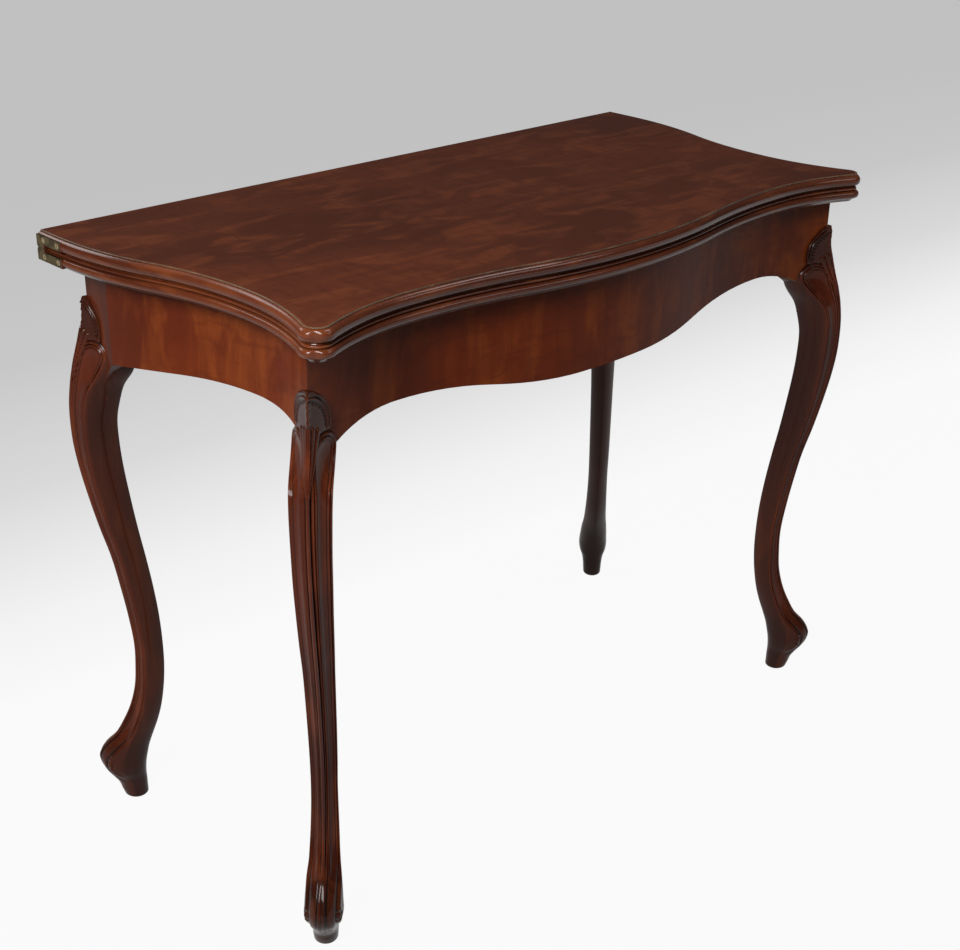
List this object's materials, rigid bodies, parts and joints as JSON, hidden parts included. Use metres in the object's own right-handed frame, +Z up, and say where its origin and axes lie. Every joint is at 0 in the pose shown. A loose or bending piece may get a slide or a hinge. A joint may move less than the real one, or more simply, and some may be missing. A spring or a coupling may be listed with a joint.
{
  "type": "folding card table",
  "caption": "Serpentine card table on carved cabriole legs, with a top that turns a quarter turn on a pivot and unfolds to a baize playing surface.",
  "frame": {"origin": "on the floor, under the middle of the closed table's bounding box", "axes": "+X along the table's length to the right seen from the front, -Y to the bowed front, +Z up"},
  "size_m": [0.935, 0.4574, 0.737],
  "materials": {
    "top_mahogany": "French polish",
    "leg_mahogany": "French polish",
    "frieze_veneer": "French polish",
    "back_mahogany": "thin polish",
    "carcase_wood": "bare, aged",
    "baize": "felted wool",
    "aged_brass": "aged, satin",
    "iron": "dull"
  },
  "bodies": {
    "frame": {"leg_front_left": "leg_mahogany", "leg_front_right": "leg_mahogany", "leg_back_left": "leg_mahogany", "leg_back_right": "leg_mahogany", "front_rail": "carcase_wood", "left_side_rail": "carcase_wood", "right_side_rail": "carcase_wood", "back_rail": "back_mahogany", "front_veneer": "frieze_veneer", "left_side_veneer": "frieze_veneer", "right_side_veneer": "frieze_veneer", "pivot_bearer": "carcase_wood", "well_divider": "carcase_wood", "well_bottom": "carcase_wood", "well_fillets": "carcase_wood", "well_lining": "baize", "glue_blocks": "carcase_wood", "glide_pads": "baize"},
    "bed": {"lower_leaf": "top_mahogany", "lower_baize": "baize", "pivot_plate": "iron", "pivot_plate_screws": "iron", "pivot_bolt": "iron", "pivot_washer": "iron", "pivot_nut": "iron", "stop_peg": "carcase_wood", "hinge_lower_plate_left": "aged_brass", "hinge_lower_plate_right": "aged_brass", "hinge_lower_screws": "aged_brass", "hinge_lower_pins": "aged_brass"},
    "hinge_links": {"hinge_link_left": "aged_brass", "hinge_link_right": "aged_brass"},
    "upper_leaf": {"upper_leaf": "top_mahogany", "upper_baize": "baize", "hinge_upper_plate_left": "aged_brass", "hinge_upper_plate_right": "aged_brass", "hinge_upper_screws": "aged_brass", "hinge_upper_pins": "aged_brass"}
  },
  "joints": [
    {"name": "top_swivel", "type": "hinge", "parent": "frame", "child": "bed", "pos_m": [0.11165, 0.1171, 0.7014], "axis": [0, 0, 1], "range_deg": [0, 90]},
    {"name": "link_turn", "type": "hinge", "parent": "bed", "child": "hinge_links", "pos_m": [0, 0.22575, 0.7162], "axis": [-1, 0, 0], "range_deg": [0, 90]},
    {"name": "leaf_turn", "type": "hinge", "parent": "hinge_links", "child": "upper_leaf", "pos_m": [0, 0.22575, 0.7225], "axis": [-1, 0, 0], "range_deg": [0, 90]}
  ],
  "couplings": [
    {"joint": "link_turn", "follows": "leaf_turn", "ratio": 1}
  ]
}
